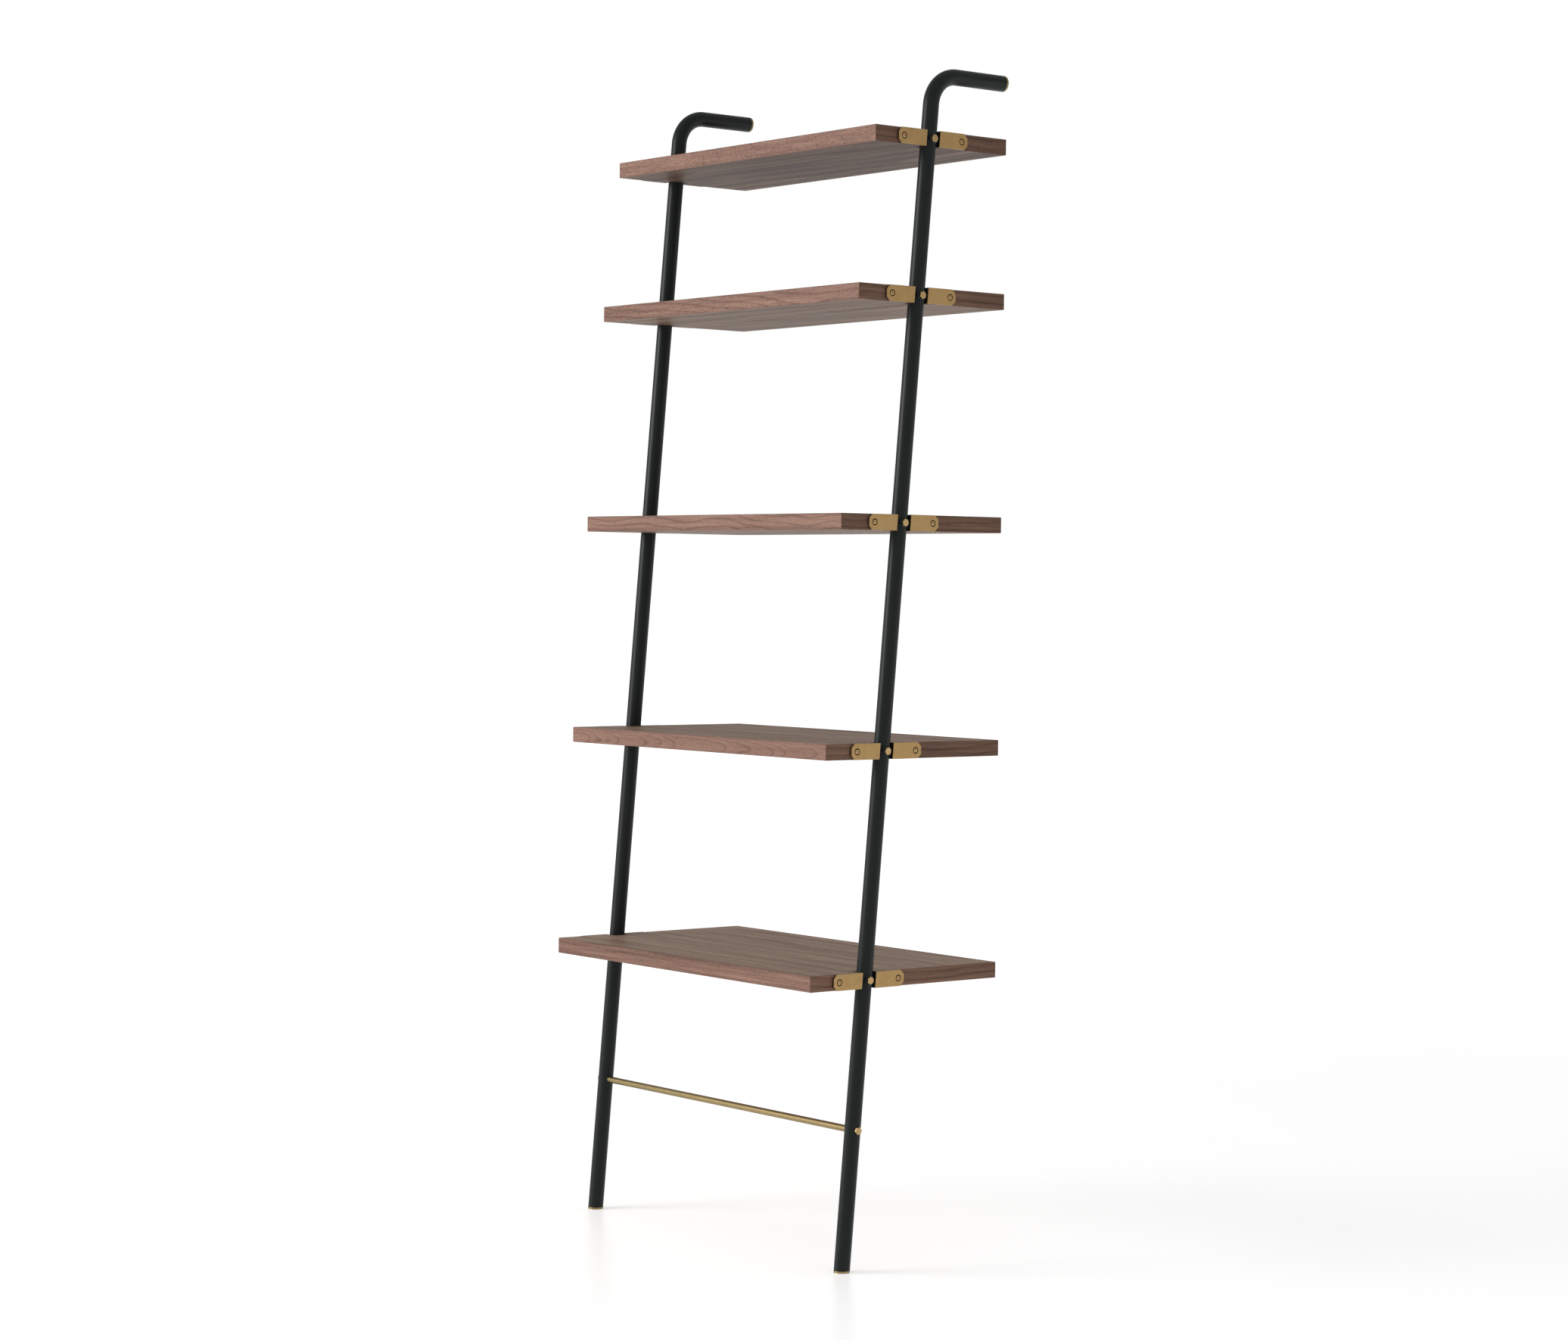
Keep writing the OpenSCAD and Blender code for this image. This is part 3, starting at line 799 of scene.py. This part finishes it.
def boardLip(n, which):
    low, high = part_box(f"shelf_{n}_{which}_lip")
    lip = block(f"shelf{n}{which.title()}Lip", low, high)
    outerY, innerY = (low.y, high.y) if which == "front" else (high.y, low.y)
    openMesh(lip)
    pick(lip, "EDGE", lambda e: edgeAlong(e, 0) and isNear(edgeMiddle(e).y, outerY))
    bpy.ops.mesh.bevel(offset=board["longRound"], segments=board["longSteps"])
    pick(lip, "EDGE", lambda e: isNear(abs(edgeMiddle(e).x), boardEndX)
         and not isNear(edgeMiddle(e).y, innerY) and isNear(e.verts[0].co.x, e.verts[1].co.x))
    bpy.ops.mesh.bevel(offset=board["lipRound"], segments=board["endSteps"])
    closeMesh()
    return lip


# a board's faces or ends, from its own plank's seed
def plankPaint(name, n, look, lift):
    seed = lipFigure[n]["seed"] * look["seedStep"]
    return walnut(name, bracketAt[n].z, **{**look, "seed": seed, "lift": lift})


for n in shelves:
    lipPaint = walnut(f"walnutLip{n}", bracketAt[n].z, **{**lipLook, **lipFigure[n]})
    facePaint = plankPaint(f"walnutFace{n}", n, faceLook, facePaintedLight[n])
    endPaint = plankPaint(f"walnutEnd{n}", n, endLook, endLift[n])
    core = boardCore(n)
    hand(core, facePaint, f"shelf_{n}_core")
    endFaces(core, endPaint)
    shadeFlatFaces(core)
    for which in ("front", "back"):
        lip = boardLip(n, which)
        hand(lip, lipPaint, f"shelf_{n}_{which}_lip")
        endFaces(lip, endPaint)
        shadeFlatFaces(lip)
print("boards cut and lipped")


# brackets: a folded black channel and two brass plates at each board end
bracket = {"sheet": 2 * mm, "plate": 3 * mm, "length": 67.5 * mm, "corner": 8 * mm,
           "gap": 0.75 * mm, "screwInset": 13.3 * mm, "sinkRadius": 6.25 * mm,
           "sinkDepth": 2 * mm, "sinkSlack": 0.1 * mm, "holeRadius": 2.75 * mm,
           "plateEdge": 0.35 * mm, "sheetEdge": 0.25 * mm, "half": 15 * mm}
plateX = faceX - bracket["plate"]
gapY = (tube["radius"] + bracket["gap"]) / math.cos(lean)
endY = gapY + bracket["length"]
screwY = endY - bracket["screwInset"]


# shifts a bracket part's inner points, so that its inner edge leans with the tube
def leanInner(piece, reach):
    for way in (-1, 1):
        pick(piece, "VERT", lambda v: abs(v.co.y) < reach and v.co.z * way > 0)
        bpy.ops.transform.translate(value=(0, way * slope * bracket["half"], 0))


def cutCorners(piece):
    pick(piece, "EDGE", lambda e: edgeAlong(e, 0) and isNear(abs(edgeMiddle(e).y), endY))
    bpy.ops.mesh.bevel(offset=bracket["corner"], segments=1, clamp_overlap=False)


# the sunk ring round each screw is painted darker than the plate's face: painted shade in the
# recess
def paintSinkShade(plate, way):
    def inSink(face):
        middle = face.calc_center_median()
        reach = math.hypot(middle.y - way * screwY, middle.z)
        return (abs(middle.x) < faceX - bracket["plateEdge"]
                and reach < bracket["sinkRadius"] + bracket["sinkSlack"])

    plate.data.materials.append(plateBrass)
    plate.data.materials.append(recessBrass)
    openMesh(plate)
    pick(plate, "FACE", inSink)
    assignSecond(plate)
    closeMesh()


def brassPlate(name, way, mirrored):
    inner, outer = sorted((way * gapY, way * endY))
    plate = block(name, (plateX, inner, -bracket["half"]), (faceX, outer, bracket["half"]))
    openMesh(plate)
    leanInner(plate, gapY + overcut)
    cutCorners(plate)
    closeMesh()
    behind, sinkX, beyond = plateX - overcut, faceX - bracket["sinkDepth"], faceX + overcut
    hole, wide = bracket["holeRadius"], bracket["sinkRadius"]
    sink = turned("sink", [(behind, 0), (behind, hole), (sinkX, hole),
                           (sinkX, wide), (beyond, wide), (beyond, 0)])
    carve(plate, settled(sink, (0, way * screwY, 0)))
    if mirrored:
        plate = flipped(plate)
    easeEdges(plate, bracket["plateEdge"])
    paintSinkShade(plate, way)
    shadeFlatFaces(plate)
    return plate


def foldedChannel(name, mirrored):
    path = [(plateX, -endY), (plateX, -gapY), (webX, -gapY),
            (webX, gapY), (plateX, gapY), (plateX, endY)]
    channel = singlePoint(name)
    bpy.ops.transform.translate(value=(*path[0], -bracket["half"]))
    bpy.ops.mesh.extrude_vertices_move(
        TRANSFORM_OT_translate={"value": (0, 0, 2 * bracket["half"])})
    bpy.ops.mesh.select_all(action="SELECT")
    for (x, y), (nextX, nextY) in zip(path, path[1:]):
        bpy.ops.mesh.extrude_region_move(
            TRANSFORM_OT_translate={"value": (nextX - x, nextY - y, 0)})
    leanInner(channel, gapY + overcut)
    closeMesh()
    useModifier(channel, "SOLIDIFY", thickness=bracket["sheet"], offset=1, use_even_offset=True)
    openMesh(channel)
    cutCorners(channel)
    closeMesh()
    if mirrored:
        channel = flipped(channel)
    else:
        tidyNormals(channel)
    easeEdges(channel, bracket["sheetEdge"])
    shadeFlatFaces(channel)
    return channel


for side in sides:
    mirrored = side == "Left"
    channel = foldedChannel("channelMaster", mirrored)
    plates = {"front": brassPlate("frontMaster", -1, mirrored),
              "rear": brassPlate("rearMaster", 1, mirrored)}
    for n in shelves:
        shift = (0, bracketAt[n].y, bracketAt[n].z)
        piece = duplicate(channel, f"shelf{n}{side}Channel", shift)
        hand(piece, bracketCoat, f"shelf_{n}_{side.lower()}_channel")
        for where, plate in plates.items():
            piece = duplicate(plate, f"shelf{n}{side}{where.title()}Plate", shift)
            hand(piece, None, f"shelf_{n}_{side.lower()}_{where}_plate")
    for master in (channel, *plates.values()):
        discard(master)
print("brackets folded")


# bolts, saddle washers and screws; turns, easeFrom and shadeFrom are in degrees
bolt = {"flats": 13 * mm, "head": 3.5 * mm, "radius": 4 * mm, "seat": 1.5 * mm,
        "length": 55 * mm, "rodLength": 28.8 * mm, "rodGap": 0.1 * mm, "flatTop": 5.9 * mm,
        "coneRim": 9 * mm, "coneTip": 1.6 * mm, "tip": 0.8 * mm, "ease": 0.18 * mm,
        "easeFrom": 50, "firstTurn": 30, "turn": 37}
washer = {"radius": 10 * mm, "hole": 4.25 * mm, "lift": 0.3 * mm, "edge": 0.4 * mm,
          "cutterSides": 96}
screw = {"radius": 2.5 * mm, "length": 14 * mm, "head": 4.75 * mm, "rim": 1.0 * mm,
         "crown": 2.75 * mm, "top": 3.0 * mm, "socket": 3.0 * mm, "socketDepth": 1.5 * mm,
         "tip": 0.6 * mm, "underHead": 0.15 * mm, "domeSteps": 7, "ease": 0.10 * mm,
         "easeFrom": 60, "shadeFrom": 40, "firstTurn": 11, "shelfTurn": 17, "wayTurn": 40}
seatX = faceX + bolt["seat"]


def hexPrism(name, flats, fromX, toX):
    selectOnly()
    bpy.ops.mesh.primitive_cylinder_add(
        vertices=6, radius=flats / 2 / math.cos(math.pi / 6), depth=toX - fromX,
        rotation=(0, math.pi / 2, 0), location=((fromX + toX) / 2, 0, 0))
    return named(name)


def hexBolt(name, seat, length):
    top, rim, flatTop = seat + bolt["head"], bolt["coneRim"], bolt["flatTop"]
    slopeStart = top - (rim - flatTop) * math.tan(math.pi / 6)
    made = hexPrism(name, bolt["flats"], seat, top)
    cone = turned("cone", [
        (seat - overcut, 0), (seat - overcut, rim), (slopeStart, rim), (top, flatTop),
        (top + overcut, flatTop - bolt["coneTip"]), (top + overcut, 0)], steps=64)
    carve(made, cone, "INTERSECT")
    radius, tip, end = bolt["radius"], bolt["tip"], seat - length
    shank = turned("shank", [
        (seat + overcut, 0), (seat + overcut, radius), (end + tip, radius),
        (end, radius - tip), (end, 0)], steps=32)
    carve(made, shank, "UNION")
    easeEdges(made, bolt["ease"], angle=bolt["easeFrom"])
    shadeFlatFaces(made)
    return made


# flat under the bolt's head, and hollowed below to fit the tube
def saddleWasher(name):
    radius, hole, edge = washer["radius"], washer["hole"], washer["edge"]
    lowX = tubeX + math.sqrt(tube["radius"] ** 2 - radius ** 2) + washer["lift"]
    made = turned(name, [(lowX, hole), (lowX, radius), (seatX - edge, radius),
                         (seatX, radius - edge), (seatX, hole), (lowX, hole)])
    selectOnly()
    bpy.ops.mesh.primitive_cylinder_add(
        vertices=washer["cutterSides"], radius=tube["radius"], depth=4 * radius,
        location=(tubeX, 0, 0), rotation=(-lean, 0, 0))
    carve(made, named("tubeCutter"))
    shadeFlatFaces(made)
    return made


def plateScrew(name):
    seat = faceX - bracket["sinkDepth"]
    end = seat - screw["length"]
    radius, tip, under = screw["radius"], screw["tip"], screw["underHead"]
    head, rim, crown, top = screw["head"], screw["rim"], screw["crown"], screw["top"]
    outline = [(end, 0), (end, radius - tip), (end + tip, radius), (seat, radius),
               (seat, head - under), (seat + under, head), (seat + rim, head)]
    # the dome falls from the rim to the flat round the socket
    for step in range(1, screw["domeSteps"] + 1):
        angle = step / screw["domeSteps"] * math.pi / 2
        outline.append((seat + rim + (crown - rim) * math.sin(angle),
                        top + (head - top) * math.cos(angle)))
    outline.append((seat + crown, 0))
    made = turned(name, outline, steps=50)        # no seam meets a corner of the socket
    socketEnd = seat + crown - screw["socketDepth"]
    carve(made, hexPrism("socket", screw["socket"], socketEnd, seat + crown + overcut))
    easeEdges(made, screw["ease"], segments=1, angle=screw["easeFrom"])
    shadeFlatFaces(made, angle=screw["shadeFrom"])
    return made


# a bolt at a shelf sits on a saddle washer, the rod's bolts straight on the tubes
shelfBolt = hexBolt("shelfBoltMaster", seatX, bolt["length"])
rodBolt = hexBolt("rodBoltMaster", faceX + bolt["rodGap"], bolt["rodLength"])
saddle, screwMaster = saddleWasher("saddleMaster"), plateScrew("screwMaster")
boltSet, rodBoltSet, washerSet, screwSet = [], [], [], []
for mirrored in (False, True):
    for n in shelves:
        shift = (0, bracketAt[n].y, bracketAt[n].z)
        turn = math.radians(bolt["firstTurn"] + bolt["turn"] * (n - 1))
        boltSet.append(duplicate(shelfBolt, "bolt", shift, turn, mirrored))
        washerSet.append(duplicate(saddle, "saddle", shift, 0, mirrored))
        for way in (-1, 1):
            screwShift = (0, bracketAt[n].y + way * screwY, bracketAt[n].z)
            screwTurn = math.radians(
                screw["firstTurn"] + screw["shelfTurn"] * n + screw["wayTurn"] * way)
            screwSet.append(duplicate(screwMaster, "screw", screwShift, screwTurn, mirrored))
    rodTurn = math.radians(bolt["firstTurn"] + bolt["turn"])
    rodBoltSet.append(duplicate(rodBolt, "bolt", rodPlace, rodTurn, mirrored))
for master in (shelfBolt, rodBolt, saddle, screwMaster):
    discard(master)
hand(joinAll(boltSet, "shelfBolts"), fastenerBrass, "shelf_bolts")
hand(joinAll(rodBoltSet, "rodBolts"), fastenerBrass, "rod_bolts")
hand(joinAll(washerSet, "saddleWashers"), bracketCoat, "saddle_washers")
hand(joinAll(screwSet, "plateScrews"), fastenerBrass, "plate_screws")
print("bolts and screws made")


# hidden fixings stay as the frame has them, with a zinc finish
for nodeName in ("grub_screws", "bolt_inserts", "screw_inserts"):
    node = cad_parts[nodeName]
    node.data.materials.clear()
    node.data.materials.append(zinc)

selectOnly()
